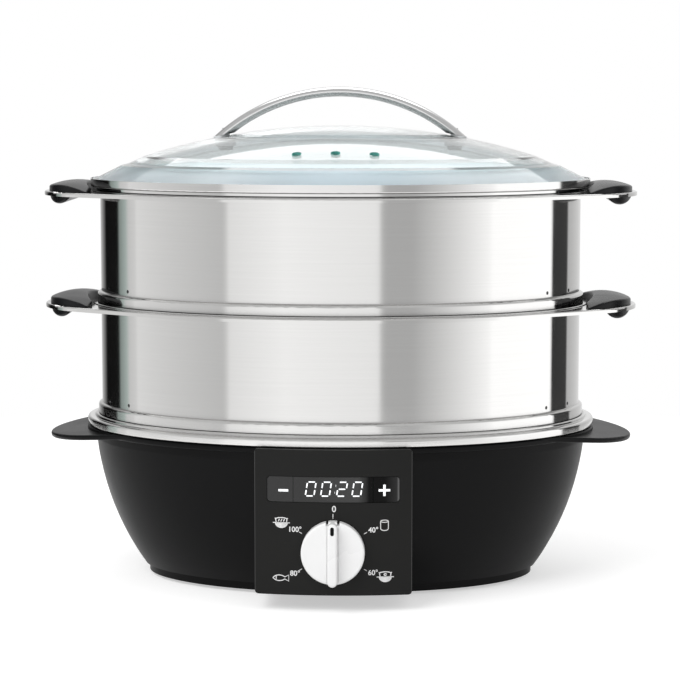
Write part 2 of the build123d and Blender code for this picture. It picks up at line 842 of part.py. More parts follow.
# --------------------------------------------------------------------- drip tray
tray_rim = ledge_top + seat_gap + half_sheet
tray_floor = tray_rim - tray_depth
tray_side = tray_half_length - half_sheet
chimney_grid = GridLocations(2 * chimney_spread_x, 2 * chimney_spread_y, 2, 2)
chimney_top = tray_floor - half_sheet + chimney_height
with BuildPart() as drip_tray:
    add(
        sheet_ring(
            [
                (tray_rim_half_length, tray_rim),
                (tray_side, tray_rim),
                (tray_floor_half_length, tray_floor),
                (tray_floor_half_length - tank_corner, tray_floor),
            ],
            [4 * sheet, tank_corner / 2],
        )
    )
    with BuildSketch(Plane.XY.offset(tray_floor - half_sheet)):
        add(oval_sketch(tray_floor_half_length - tank_corner + sheet))
    extrude(amount=sheet)
    with BuildSketch(Plane.XY.offset(tray_floor - half_sheet)):
        with chimney_grid:
            Circle(chimney_diameter / 2)
    extrude(amount=chimney_height, taper=chimney_taper)
    with BuildSketch(Plane.XY.offset(tray_floor - half_sheet)):
        with chimney_grid:
            Circle(chimney_diameter / 2 - sheet)
    extrude(amount=chimney_height - sheet, taper=chimney_taper, mode=Mode.SUBTRACT)
    # a cap keeps the juices out of each chimney, and the steam leaves by slots below it
    with BuildSketch(Plane.XY.offset(chimney_top - 2 * sheet)):
        with chimney_grid, PolarLocations(0, steam_slot_pairs, angular_range=180, endpoint=False):
            Rectangle(chimney_diameter, steam_slot_width)
    extrude(amount=-steam_slot_height, mode=Mode.SUBTRACT)
finish(drip_tray.part, "drip_tray")

# ----------------------------------------------------------------------- baskets
# both baskets are alike and are drawn with the edge of the skirt at level 0
skirt_middle = skirt_half_length - half_sheet
seat_middle = basket_height - half_sheet
flange_bottom = flange_top - flange_edge
under_grip_top = flange_top - sheet - fit_gap
grip_screw_plane = Plane.XY.offset(flange_bottom)
grip_screw_places = [(grip_screw_x, -grip_screw_spread), (grip_screw_x, grip_screw_spread)]
all_grip_screws = grip_screw_places + [(-x, y) for x, y in grip_screw_places]
pip_level = floor_level - pip_radius - fit_gap
pip_oval = Edge.make_ellipse(wall_middle - pip_radius, wall_half_width - half_sheet - pip_radius)
pip_places = [pip_oval.position_at(turn) + Vector(0, 0, pip_level) for turn in pip_turns]

with BuildPart() as flange:
    eared = eared_sketch(flange_half_length, ear_reach, ear_radius)
    with BuildSketch(Plane.XY.offset(flange_bottom)):
        add(eared)
    extrude(amount=flange_edge)
    fillet(flange.faces().sort_by(Axis.Z)[-1].edges(), radius=flange_rim)
    with BuildSketch(Plane.XY.offset(flange_bottom)):
        add(eared_sketch(flange_half_length - flange_rim, ear_reach - flange_rim, ear_radius - flange_rim))
    extrude(amount=flange_edge - sheet, mode=Mode.SUBTRACT)
    with BuildSketch(Plane.XY.offset(flange_bottom)):
        add(oval_sketch(seat_half_length - half_sheet))
    extrude(amount=flange_edge, mode=Mode.SUBTRACT)

with BuildPart() as basket_wall:
    add(
        sheet_ring(
            [
                (skirt_middle, 0),
                (skirt_middle, skirt_height),
                (wall_middle, skirt_height + shoulder_height),
                (wall_middle, seat_middle),
                (seat_half_length - half_sheet, seat_middle),
                (seat_half_length - half_sheet, flange_top - half_sheet),
            ],
            [2 * sheet, sheet, sheet, half_sheet],
        )
    )
    with Locations(*pip_places):
        Sphere(pip_radius)
    add(flange.part)
    add(bead_ring(seat_middle, basket_height + bead_height))
    add(screw_set(grip_screw_plane, all_grip_screws, flange_edge, fit_gap), mode=Mode.SUBTRACT)

with BuildPart() as basket_floor:
    with BuildSketch(Plane.XY.offset(floor_level)):
        add(oval_sketch(wall_half_length - sheet - seat_gap))
    extrude(amount=floor_thickness)
    hole_oval = wall_half_length - floor_margin, wall_half_width - floor_margin
    with BuildSketch(Plane.XY.offset(floor_level)):
        with GridLocations(floor_hole_pitch, floor_hole_pitch, floor_columns, floor_rows) as grid:
            places = grid.local_locations
        inside = [
            place
            for place in places
            if math.hypot(place.position.X / hole_oval[0], place.position.Y / hole_oval[1]) < 1
        ]
        with Locations(*inside):
            Circle(floor_hole_diameter / 2)
    extrude(amount=floor_thickness, mode=Mode.SUBTRACT)

with BuildPart() as grip_top:
    with BuildSketch(Plane.XY.offset(flange_top + fit_gap)):
        add(eared_sketch(flange_half_length - grip_margin, ear_reach - grip_margin, ear_radius - grip_margin))
        add(oval_sketch(grip_inner_half_length), mode=Mode.SUBTRACT)
        with Locations((ear_reach - grip_length, 0)):
            Rectangle(grip_length * 2, ear_reach, align=(Align.MIN, Align.CENTER), mode=Mode.INTERSECT)
    extrude(amount=2 * grip_height)
    fillet(grip_top.edges().filter_by(Axis.Z).group_by(Axis.X)[0], radius=grip_round)
    # the crown is an arch across the grip, carried along a flatter arch from front to back
    with BuildSketch(Plane.XZ):
        with BuildLine():
            tip = (ear_reach - grip_margin, flange_top + grip_tip_height)
            crown = (ear_reach - grip_crown, flange_top + grip_height)
            root = (ear_reach - grip_length, flange_top + grip_root_height)
            ThreePointArc(tip, crown, root)
            Polyline(root, (root[0], flange_bottom), (tip[0], flange_bottom), tip)
        make_face()
    revolve(axis=Axis((0, 0, flange_top + grip_height - grip_bow), (1, 0, 0)), mode=Mode.INTERSECT)
    fillet(grip_top.faces().filter_by(GeomType.TORUS).sort_by(SortBy.AREA)[-1].edges(), radius=grip_edge)
    add(screw_set(grip_screw_plane, grip_screw_places, grip_screw_length, fit_gap), mode=Mode.SUBTRACT)

with BuildPart() as grip_base:
    with BuildSketch(Plane.XY.offset(under_grip_top)):
        add(
            eared_sketch(
                flange_half_length - under_grip_margin,
                ear_reach - under_grip_margin,
                ear_radius - under_grip_margin,
            )
        )
        with Locations((under_grip_root, 0)):
            Rectangle(grip_length, ear_reach, align=(Align.MIN, Align.CENTER), mode=Mode.INTERSECT)
    extrude(amount=-flange_edge - under_grip_depth)
    fillet(grip_base.edges().filter_by(Axis.Z), radius=grip_round)
    with BuildSketch(Plane.XZ.offset(-ear_reach)):
        with BuildLine():
            tip = (ear_reach - under_grip_margin, flange_bottom)
            low = (under_grip_low, flange_bottom - under_grip_depth)
            root = (under_grip_root, flange_bottom)
            ThreePointArc(tip, low, root)
            Polyline(root, (root[0], flange_top), (tip[0], flange_top), tip)
        make_face()
    extrude(amount=2 * ear_reach, mode=Mode.INTERSECT)
    widest_side = grip_base.faces().filter_by(GeomType.CYLINDER).sort_by(SortBy.AREA)[-1]
    fillet(widest_side.edges(), radius=under_grip_round)
    add(screw_set(grip_screw_plane, grip_screw_places, grip_screw_length, fit_gap), mode=Mode.SUBTRACT)

grip_screws = screw_set(grip_screw_plane, all_grip_screws, grip_screw_length)

basket_pieces = {
    "basket_wall": basket_wall.part,
    "basket_floor": basket_floor.part,
    "right_grip_top": grip_top.part,
    "left_grip_top": grip_top.part.mirror(Plane.YZ),
    "right_grip_base": grip_base.part,
    "left_grip_base": grip_base.part.mirror(Plane.YZ),
    "grip_screws": grip_screws,
}
for tier, level in (("lower", skirt_level), ("upper", skirt_level + basket_pitch)):
    for piece, shape in basket_pieces.items():
        finish(shape.moved(Location((0, 0, level))), f"{tier}_{piece}")

# --------------------------------------------------------------------------- lid
shelf = lid_level + band_bottom + sheet
glass_level = shelf + fit_gap
band_middle = band_half_length - half_sheet
glass_ratio = (glass_half_length - oval_narrowing) / glass_half_length
join_rise = dome_rise - dome_radius + math.sqrt(dome_radius**2 - dome_join_half_length**2)

with BuildPart() as lid_rim:
    add(
        sheet_ring(
            [
                (skirt_middle, lid_level),
                (skirt_middle, shelf - half_sheet),
                (band_middle, shelf - half_sheet),
                (band_middle, lid_level + band_bottom + band_height),
            ],
            [half_sheet, sheet],
        )
    )
finish(lid_rim.part, "lid_rim")


def dome(rise, thickness=0.0):
    """The lid's glass, or with no thickness all that lies under its outer face."""
    edge_top = (glass_half_length, glass_edge_rise + rise)
    crease = (crease_half_length, crease_rise + rise)
    shoulder = (shoulder_half_length, shoulder_rise + rise)
    join = (dome_join_half_length, join_rise + rise)
    top = (0, dome_rise + rise)
    with BuildPart() as shape:
        with BuildSketch(Plane.XZ):
            with BuildLine():
                RadiusArc(top, join, dome_radius)
                Polyline(join, shoulder, crease, edge_top, (glass_half_length, 0))
                if thickness:
                    offset(amount=thickness, side=Side.RIGHT, closed=True)
                else:
                    Polyline((glass_half_length, 0), (0, 0), top)
            make_face()
        revolve(axis=Axis.Z)
        scale(by=(1, glass_ratio, 1))
    return shape.part.moved(Location((0, 0, glass_level)))


dome_slope = vent_hole_y / glass_ratio / dome_radius
vent_rise = math.sqrt(dome_radius**2 - (vent_hole_y / glass_ratio) ** 2)
vent_level = glass_level + dome_rise - dome_radius + vent_rise
vent_plane = Plane(
    origin=(0, vent_hole_y, vent_level),
    x_dir=(1, 0, 0),
    z_dir=(0, math.sin(dome_slope / glass_ratio), math.cos(dome_slope / glass_ratio)),
)
lid_screw_places = [(-lid_screw_x, 0), (lid_screw_x, 0)]
screw_surface = glass_level + dome_rise - dome_radius + math.sqrt(dome_radius**2 - lid_screw_x**2)
lid_screw_top = screw_surface + foot_pad_thickness + lid_screw_grip
washer_level = screw_surface - glass_thickness - lid_washer_height
pad_top = dome(foot_pad_thickness)

with BuildPart() as lid_glass:
    add(dome(0, glass_thickness))
    with BuildSketch(vent_plane):
        with GridLocations(vent_hole_pitch, 0, 3, 1):
            Circle(vent_hole_diameter / 2)
    extrude(amount=2 * glass_thickness, both=True, mode=Mode.SUBTRACT)
    with BuildSketch(Plane.XY.offset(glass_level)):
        with Locations(*lid_screw_places):
            Circle(lid_screw_diameter / 2 + fit_gap)
    extrude(amount=2 * dome_rise, mode=Mode.SUBTRACT)
finish(lid_glass.part, "lid_glass")

with BuildPart() as lid_handle:
    with BuildLine(Plane.XZ) as arch:
        CenterArc((0, handle_top - handle_radius), handle_radius, 90 - handle_swing, 2 * handle_swing)
    with BuildSketch(Plane(origin=arch.line @ 0, x_dir=(0, 1, 0), z_dir=arch.line % 0)):
        Ellipse(handle_width / 2, handle_thickness / 2)
    sweep()
    add(pad_top, mode=Mode.SUBTRACT)
    with BuildSketch(Plane.XY.offset(glass_level)):
        with Locations(*lid_screw_places):
            Circle(lid_screw_diameter / 2 + fit_gap)
    extrude(amount=lid_screw_top - glass_level + fit_gap, mode=Mode.SUBTRACT)
finish(lid_handle.part, "lid_handle")

with BuildPart() as handle_pads:
    with BuildSketch(Plane.XY.offset(glass_level)):
        with Locations(*[(side * foot_pad_x, 0) for side in (-1, 1)]):
            Ellipse(foot_pad_length / 2, foot_pad_width / 2)
    extrude(amount=2 * dome_rise)
    add(pad_top, mode=Mode.INTERSECT)
    add(dome(0), mode=Mode.SUBTRACT)
    with BuildSketch(Plane.XY.offset(glass_level)):
        with Locations(*lid_screw_places):
            Circle(lid_screw_diameter / 2 + fit_gap)
    extrude(amount=2 * dome_rise, mode=Mode.SUBTRACT)
finish(handle_pads.part, "handle_pads")

with BuildPart() as handle_washers:
    with BuildSketch(Plane.XY.offset(washer_level)):
        with Locations(*lid_screw_places):
            Circle(lid_washer_diameter / 2)
            Circle(lid_screw_diameter / 2 + fit_gap, mode=Mode.SUBTRACT)
    extrude(amount=lid_washer_height)
    add(lid_glass.part, mode=Mode.SUBTRACT)
finish(handle_washers.part, "handle_washers")

with BuildPart() as handle_screws:
    with BuildSketch(Plane.XY.offset(washer_level - fit_gap)):
        with Locations(*lid_screw_places):
            Circle(lid_screw_head / 2)
    extrude(amount=-lid_screw_head_height)
    fillet(handle_screws.edges().group_by(Axis.Z)[0], radius=lid_screw_round)
    with BuildSketch(Plane.XY.offset(washer_level - fit_gap)):
        with Locations(*lid_screw_places):
            Circle(lid_screw_diameter / 2)
    extrude(amount=lid_screw_top - washer_level + fit_gap)
finish(handle_screws.part, "handle_screws")
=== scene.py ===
import json
import math

import bmesh
import bpy
from mathutils import Matrix, Vector


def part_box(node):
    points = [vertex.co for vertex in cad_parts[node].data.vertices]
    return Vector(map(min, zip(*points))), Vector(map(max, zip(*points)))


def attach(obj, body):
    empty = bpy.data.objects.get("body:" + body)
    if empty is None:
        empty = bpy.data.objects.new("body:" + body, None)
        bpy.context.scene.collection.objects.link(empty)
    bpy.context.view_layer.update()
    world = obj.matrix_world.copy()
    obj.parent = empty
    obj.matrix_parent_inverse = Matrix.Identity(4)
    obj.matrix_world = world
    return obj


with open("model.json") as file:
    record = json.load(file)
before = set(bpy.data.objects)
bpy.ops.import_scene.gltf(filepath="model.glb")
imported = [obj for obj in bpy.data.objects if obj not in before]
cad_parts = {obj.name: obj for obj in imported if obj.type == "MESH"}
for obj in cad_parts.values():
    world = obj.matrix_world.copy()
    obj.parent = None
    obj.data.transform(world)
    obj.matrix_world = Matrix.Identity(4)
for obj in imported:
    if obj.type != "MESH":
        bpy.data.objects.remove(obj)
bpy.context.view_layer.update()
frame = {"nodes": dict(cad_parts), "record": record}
nodes = frame["nodes"]

# ------------------------------------------------------------------------ sizes
MM = 0.001
panel_low, panel_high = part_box("control_panel")
knob_low, knob_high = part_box("knob")
_, lens_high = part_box("display_lens")
glass_low, glass_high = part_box("lid_glass")
wall_low, wall_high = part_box("lower_basket_wall")
oval_middle = (wall_low.y + wall_high.y) / 2
crease_level = glass_low.z + 14.65 * MM      # the crease between the lid's dome and its sloping edge
crease_blur = 0.3 * MM
strip_depth = 5 * MM                         # of the blue-green strip under the crease, painted for light the glass's edge refracts
strip_inner = 15 * MM                        # the strip deepens from this distance from the middle
strip_outer = 100 * MM                       # to this one
vent_pitch, vent_front = 27.4 * MM, 90 * MM  # the vents' spacing and how far in front of the middle they are
vent_radius = 3.5 * MM
vent_edge_height = 2.5 * MM
dome_curve = 479 * MM                        # radius of the dome along the steamer
wall_half_length, wall_half_width = 178.4 * MM, 122.4 * MM
dent_turns = (-0.56, -0.345, 0.345, 0.56)    # places round the oval, in radians from its ends
dent_radius = 1.3 * MM
dent_drop = 2 * MM                           # below the basket's floor
dent_flatness = 0.1                          # a dent's height as a share of its radius
panel_edge_line = 0.5 * MM                   # a painted highlight runs along the panel's side edges over this width
panel_curve = 260 * MM                       # radius of the control panel's face
panel_axis = panel_low.y + panel_curve
panel_back = panel_low.y + 9 * MM            # all of the panel's face lies in front of this
knob_level = (knob_low.z + knob_high.z) / 2
strip_sunk = 0.4 * MM                        # the display strip lies this far behind the face
print_lift = 0.04 * MM                       # the print stands this far off the face
print_depth = 0.12                           # and its lines are squeezed to this share of their round
crevice_depth = 5 * MM                       # steel is painted darker, as shade, where something stands nearer than this

# ---------------------------------------------------------------------- colours
# painted shade that darkens steel in narrow gaps
painted_crevice_shade = (0.02, 0.02, 0.02)
panel_shade = (0.0125, 0.0125, 0.012)
# painted highlight along the panel's side edges
panel_edge_highlight = (0.07, 0.07, 0.07)
dome_tint = (0.78, 0.82, 0.825)
cone_painted_tint = (0.9, 0.97, 1.0)                 # painted tint of the glass below the crease, for light its edge refracts
# painted blue-green of the strip, for light the glass's edge refracts
strip_painted_tint = (0.55, 0.76, 0.78)
cone_blur = 0.45                             # roughness of the glass below the crease
cone_painted_glow = (0.75, 0.9, 1.0)                 # painted glow, for light that runs through the glass and leaves it there
cone_glow_middle, cone_glow_side = 0.13, 0.04
# greys of the smoked strip, each at a place counted in half widths of the display's lens; the paler greys
# are a painted reflection
lens_greys = (
    (-0.6, 0.05), (-0.2, 0.07), (0.62, 0.066), (0.82, 0.03), (0.9, 0.006), (1.3, 0.006), (1.6, 0.03),
)
lens_ramp_start, lens_ramp_end = -1, 2       # places where the strip's ramp of greys starts and ends


# ------------------------------------------------------------- shader node tools
def add_node(tree, kind, inputs=None, **settings):
    """One shader node with its settings and the values on its own sockets."""
    node = tree.nodes.new("ShaderNode" + kind)
    for name, value in settings.items():
        setattr(node, name, value)
    for name, value in (inputs or {}).items():
        node.inputs[name].default_value = value
    return node


def join(tree, source, target, out=0, into=0):
    """Lead one node's output into another's input."""
    tree.links.new(source.outputs[out], target.inputs[into])


def effect_group(name, numbers, results):
    """Empty node group with number inputs and named results, and its two end nodes."""
    tree = bpy.data.node_groups.new(name, "ShaderNodeTree")
    for label, value in numbers.items():
        socket = tree.interface.new_socket(name=label, in_out="INPUT", socket_type="NodeSocketFloat")
        socket.default_value = value
    for label, kind in results.items():
        tree.interface.new_socket(name=label, in_out="OUTPUT", socket_type=kind)
    return tree, tree.nodes.new("NodeGroupInput"), tree.nodes.new("NodeGroupOutput")


def brushing():
    """Fine lines that run round a piece at one height, as polishing leaves them on steel, and a mask for
    painted shade in gaps.
    """
    tree, given, result = effect_group(
        "polishing_lines",
        {"Lines": 900.0, "Depth": 0.02},
        {
            "Mask": "NodeSocketFloat", "Cloud": "NodeSocketFloat",
            "Crevice Shade": "NodeSocketFloat", "Normal": "NodeSocketVector",
        },
    )
    place = add_node(tree, "TexCoord")
    stretch = add_node(tree, "Mapping")
    stretch.inputs["Scale"].default_value = (0.012, 0.012, 1.0)
    lines = add_node(tree, "TexNoise", {"Detail": 4.0, "Roughness": 0.7})
    cloud = add_node(tree, "TexNoise", {"Scale": 14.0, "Detail": 3.0})
    bump = add_node(tree, "Bump", {"Distance": 0.0004})
    # how closely other parts stand round, as a mask for the painted shade in gaps
    openness = add_node(tree, "AmbientOcclusion", {"Distance": crevice_depth}, samples=6)
    crevice = add_node(tree, "MapRange", {"From Min": 0.85, "From Max": 0.35})
    join(tree, openness, crevice, "AO", "Value")
    join(tree, crevice, result, "Result", "Crevice Shade")
    join(tree, place, stretch, "Object", "Vector")
    join(tree, stretch, lines, "Vector", "Vector")
    join(tree, place, cloud, "Object", "Vector")
    join(tree, given, lines, "Lines", "Scale")
    join(tree, lines, bump, "Fac", "Height")
    join(tree, given, bump, "Depth", "Strength")
    join(tree, lines, result, "Fac", "Mask")
    join(tree, cloud, result, "Fac", "Cloud")
    join(tree, bump, result, "Normal", "Normal")
    return tree


def moulding():
    """Fine grain of a moulded surface, with broad soft patches where hands polish it."""
    tree, given, result = effect_group(
        "moulded_grain",
        {"Grain": 2600.0, "Depth": 0.1},
        {"Mask": "NodeSocketFloat", "Patches": "NodeSocketFloat", "Normal": "NodeSocketVector"},
    )
    place = add_node(tree, "TexCoord")
    grain = add_node(tree, "TexNoise", {"Detail": 2.0})
    patches = add_node(tree, "TexNoise", {"Scale": 22.0, "Detail": 4.0})
    bump = add_node(tree, "Bump", {"Distance": 0.0003})
    join(tree, place, grain, "Object", "Vector")
    join(tree, place, patches, "Object", "Vector")
    join(tree, given, grain, "Grain", "Scale")
    join(tree, grain, bump, "Fac", "Height")
    join(tree, given, bump, "Depth", "Strength")
    join(tree, grain, result, "Fac", "Mask")
    join(tree, patches, result, "Fac", "Patches")
    join(tree, bump, result, "Normal", "Normal")
    return tree


polishing_lines = brushing()
moulded_grain = moulding()


def new_material(name):
    """Material with its Principled shader."""
    material = bpy.data.materials.new(name)
    material.use_nodes = True
    return material, material.node_tree, material.node_tree.nodes["Principled BSDF"]


def spread(tree, source, out, low, high):
    """A value between low and high that follows a mask's middle stretch."""
    span = add_node(tree, "MapRange", {"From Min": 0.3, "From Max": 0.7, "To Min": low, "To Max": high})
    join(tree, source, span, out, "Value")
    return span


def two_tone(tree, source, out, first, second):
    """A colour between two that follows a mask."""
    mix = add_node(tree, "Mix", data_type="RGBA")
    mix.inputs["A"].default_value = (*first, 1)
    mix.inputs["B"].default_value = (*second, 1)
    ramp = spread(tree, source, out, 0, 1)
    join(tree, ramp, mix, "Result", "Factor")
    return mix


def ramp_mask(tree, source, out, start, end):
    """Zero to one as a value goes from start to end."""
    mask = add_node(tree, "MapRange", {"From Min": start, "From Max": end})
    join(tree, source, mask, out, "Value")
    return mask


def tinted(tree, base, mask, out, tint, base_out="Result"):
    """A colour that turns into another where a mask is one."""
    mix = add_node(tree, "Mix", data_type="RGBA")
    mix.inputs["B"].default_value = (*tint, 1)
    join(tree, base, mix, base_out, "A")
    join(tree, mask, mix, out, "Factor")
    return mix


def product(tree, first, first_out, second, second_out):
    """Two values multiplied."""
    result = add_node(tree, "Math", operation="MULTIPLY")
    join(tree, first, result, first_out, 0)
    join(tree, second, result, second_out, 1)
    return result


def distance(tree, source, out):
    """A value without its sign."""
    result = add_node(tree, "Math", operation="ABSOLUTE")
    join(tree, source, result, out, 0)
    return result


def object_place(tree):
    """A piece's own coordinates, and the same split into X, Y and Z."""
    place = add_node(tree, "TexCoord")
    parts = add_node(tree, "SeparateXYZ")
    join(tree, place, parts, "Object", "Vector")
    return place, parts


def fill_ramp(node, stops):
    """Give a colour ramp its stops, each a place from 0 to 1 and a colour."""
    elements = node.color_ramp.elements
    elements[0].position = 0
    elements[1].position = 1
    every = list(elements) + [elements.new(0.5) for _ in stops[2:]]
    for element, (place, colour) in zip(every, stops):
        element.position = place
        element.color = (*colour, 1)


def steel(name, pale, dark, smooth, rough, lines=900.0, depth=0.02, crevices=True):
    """Polished or brushed steel: lines round the piece, a cloudy change of tone and painted shade in narrow
    gaps.
    """
    material, tree, surface = new_material(name)
    grain = add_node(tree, "Group", node_tree=polishing_lines)
    grain.inputs["Lines"].default_value = lines
    grain.inputs["Depth"].default_value = depth
    surface.inputs["Metallic"].default_value = 1
    tone = two_tone(tree, grain, "Mask", pale, dark)
    # darken with painted shade in narrow gaps, unless the piece goes without it
    if crevices:
        tone = tinted(tree, tone, grain, "Crevice Shade", painted_crevice_shade)
    gloss = spread(tree, grain, "Cloud", smooth, rough)
    join(tree, tone, surface, "Result", "Base Color")
    join(tree, gloss, surface, "Result", "Roughness")
    join(tree, grain, surface, "Normal", "Normal")
    return material


def panel_face(tree, tone):
    """The control panel's face in a shade of its own, with a painted highlight along its side edges."""
    _, parts = object_place(tree)
    front = ramp_mask(tree, parts, "Y", panel_back, panel_back - MM)
    edge_start, edge_end = panel_high.x - panel_edge_line, panel_high.x - panel_edge_line / 2
    rim = ramp_mask(tree, distance(tree, parts, "X"), "Value", edge_start, edge_end)
    # painted highlight along the face's side edges
    painted_edge_highlight = product(tree, rim, "Result", front, "Result")
    face = tinted(tree, tone, front, "Result", panel_shade)
    return tinted(tree, face, painted_edge_highlight, "Value", panel_edge_highlight)


def moulded(name, pale, dark, smooth, rough, grain_size=2600.0, depth=0.1, shine=0.5, has_panel=False):
    """Moulded plastic or rubber: a fine grain, and gloss that changes in broad patches."""
    material, tree, surface = new_material(name)
    grain = add_node(tree, "Group", node_tree=moulded_grain)
    grain.inputs["Grain"].default_value = grain_size
    grain.inputs["Depth"].default_value = depth
    surface.inputs["Specular IOR Level"].default_value = shine
    tone = two_tone(tree, grain, "Mask", pale, dark)
    if has_panel:
        tone = panel_face(tree, tone)
    gloss = spread(tree, grain, "Patches", smooth, rough)
    join(tree, tone, surface, "Result", "Base Color")
    join(tree, gloss, surface, "Result", "Roughness")
    join(tree, grain, surface, "Normal", "Normal")
    return material


def smoked_lens():
    """Smoked strip: grey at its left and through the middle, a painted reflection, and near black to its
    right.
    """
    material, tree, surface = new_material("smoked_lens")
    surface.inputs["Specular IOR Level"].default_value = 0.06
    coordinates, parts = object_place(tree)
    half_lens = lens_high.x
    across = ramp_mask(tree, parts, "X", lens_ramp_start * half_lens, lens_ramp_end * half_lens)
    tone = add_node(tree, "ValToRGB")
    ramp_length = lens_ramp_end - lens_ramp_start
    fill_ramp(tone, [((place - lens_ramp_start) / ramp_length, [grey] * 3) for place, grey in lens_greys])
    cloud = add_node(tree, "TexNoise", {"Scale": 60.0})
    gloss = add_node(tree, "MapRange", {"To Min": 0.08, "To Max": 0.16})
    join(tree, coordinates, cloud, "Object", "Vector")
    join(tree, cloud, gloss, "Fac", "Value")
    join(tree, across, tone, "Result", "Fac")
    join(tree, tone, surface, "Color", "Base Color")
    join(tree, gloss, surface, "Result", "Roughness")
    return material


def lid_glass_material():
    """Clear glass with painted refraction: pale blue below its crease, a blue-green strip that is deepest to
    the sides, and a painted glow below the crease.
    """
    material, tree, surface = new_material("lid_glass")
    surface.inputs["Transmission Weight"].default_value = 1
    surface.inputs["IOR"].default_value = 1.12
    surface.inputs["Coat Weight"].default_value = 1
    surface.inputs["Coat IOR"].default_value = 1.5
    surface.inputs["Coat Roughness"].default_value = 0.01
    surface.inputs["Emission Color"].default_value = (*cone_painted_glow, 1)
    place, parts = object_place(tree)
    cloud = add_node(tree, "TexNoise", {"Scale": 8.0})
    join(tree, place, cloud, "Object", "Vector")

    # masks: below the crease, up the strip, and out to the sides
    below = ramp_mask(tree, parts, "Z", crease_level + crease_blur, crease_level - crease_blur)
    up_strip = ramp_mask(tree, parts, "Z", crease_level - strip_depth, crease_level)
    outward = ramp_mask(tree, distance(tree, parts, "X"), "Value", strip_inner, strip_outer)
    side_strip = product(tree, up_strip, "Result", outward, "Result")
    strip = product(tree, side_strip, "Value", below, "Result")

    # colour, with the painted refraction below the crease
    clear = two_tone(tree, cloud, "Fac", dome_tint, [c + 0.01 for c in dome_tint])
    cone = tinted(tree, clear, below, "Result", cone_painted_tint)
    colour = tinted(tree, cone, strip, "Value", strip_painted_tint)
    join(tree, colour, surface, "Result", "Base Color")

    # roughness
    haze = add_node(tree, "MapRange", {"To Min": 0.0, "To Max": 0.02})
    blur = add_node(tree, "Math", operation="MULTIPLY_ADD")
    blur.inputs[1].default_value = cone_blur
    join(tree, cloud, haze, "Fac", "Value")
    join(tree, below, blur, "Result", 0)
    join(tree, haze, blur, "Result", 2)
    join(tree, blur, surface, "Value", "Roughness")

    # painted glow below the crease
    strength = add_node(tree, "MapRange", {"To Min": cone_glow_middle, "To Max": cone_glow_side})
    join(tree, outward, strength, "Result", "Value")
    glow = product(tree, below, "Result", strength, "Result")
    join(tree, glow, surface, "Value", "Emission Strength")
    return material


def lit_segments():
    """Display segments that glow white, a little uneven along their length."""
    material, tree, surface = new_material("lit_segments")
    surface.inputs["Emission Strength"].default_value = 0.75
    place = add_node(tree, "TexCoord")
    cloud = add_node(tree, "TexNoise", {"Scale": 700.0})
    tone = two_tone(tree, cloud, "Fac", (0.75, 0.78, 0.8), (0.95, 0.96, 0.97))
    join(tree, place, cloud, "Object", "Vector")
    join(tree, tone, surface, "Result", "Base Color")
    join(tree, tone, surface, "Result", "Emission Color")
    return material


# -------------------------------------------------------------------- materials
finishes = {
    "black_plastic": moulded(
        "black_plastic", (0.0015, 0.0015, 0.0018), (0.001, 0.001, 0.0012), 0.3, 0.38,
        shine=0.15, has_panel=True,
    ),
    "cover_plastic": moulded("cover_plastic", (0.03, 0.03, 0.03), (0.02, 0.02, 0.02), 0.5, 0.65, depth=0.3),
    "steel_sheet": steel("steel_sheet", (0.84, 0.835, 0.825), (0.815, 0.81, 0.8), 0.05, 0.1, depth=0.008),
    "fastener_steel": steel("fastener_steel", (0.62, 0.62, 0.62), (0.5, 0.5, 0.5), 0.25, 0.4, 3000.0, 0.05),
    "foot_rubber": moulded(
        "foot_rubber", (0.03, 0.03, 0.03), (0.018, 0.018, 0.018), 0.7, 0.85, 1500.0, 0.4, shine=0.3,
    ),
    "seal_silicone": moulded("seal_silicone", (0.5, 0.51, 0.52), (0.42, 0.43, 0.44), 0.45, 0.6, 1800.0),
    "element_steel": steel("element_steel", (0.45, 0.43, 0.4), (0.3, 0.28, 0.27), 0.3, 0.5, 1400.0, 0.1),
    "board_green": moulded("board_green", (0.05, 0.22, 0.1), (0.03, 0.15, 0.07), 0.3, 0.45, 900.0),
    "component_black": moulded("component_black", (0.03, 0.03, 0.033), (0.02, 0.02, 0.02), 0.4, 0.55),
    "transformer_steel": steel(
        "transformer_steel", (0.4, 0.37, 0.28), (0.25, 0.23, 0.18), 0.4, 0.6, 2500.0, 0.2,
    ),
    "lens_plastic": smoked_lens(),
    "display_glass": moulded("display_glass", (0.05, 0.05, 0.05), (0.03, 0.03, 0.03), 0.1, 0.2, depth=0.0),
    "white_plastic": moulded("white_plastic", (0.95, 0.95, 0.95), (0.92, 0.92, 0.92), 0.2, 0.3, depth=0.03),
    "pointer_black": moulded(
        "pointer_black", (0.003, 0.003, 0.003), (0.002, 0.002, 0.002), 0.3, 0.4, shine=0.1,
    ),
    "grip_plastic": moulded(
        "grip_plastic", (0.009, 0.009, 0.01), (0.007, 0.007, 0.008), 0.24, 0.34, depth=0.05, shine=0.14,
    ),
    "lid_glass": lid_glass_material(),
    "handle_steel": steel("handle_steel", (0.8, 0.8, 0.8), (0.76, 0.76, 0.76), 0.1, 0.16, 700.0, 0.0),
}
finishes["key_plastic"] = finishes["lens_plastic"]
white_print = moulded("white_print", (0.9, 0.9, 0.9), (0.8, 0.8, 0.8), 0.5, 0.6, 3000.0, 0.05)
segment_light = lit_segments()
glass_edge = moulded("glass_edge", (0.12, 0.45, 0.39), (0.1, 0.4, 0.35), 0.3, 0.4, 1500.0, 0.03)
# dark steel for the dents: painted shade
dent_painted_shade = steel("dent_painted_shade", (0.12, 0.12, 0.12), (0.05, 0.05, 0.05), 0.2, 0.35, 2500.0, 0.1)

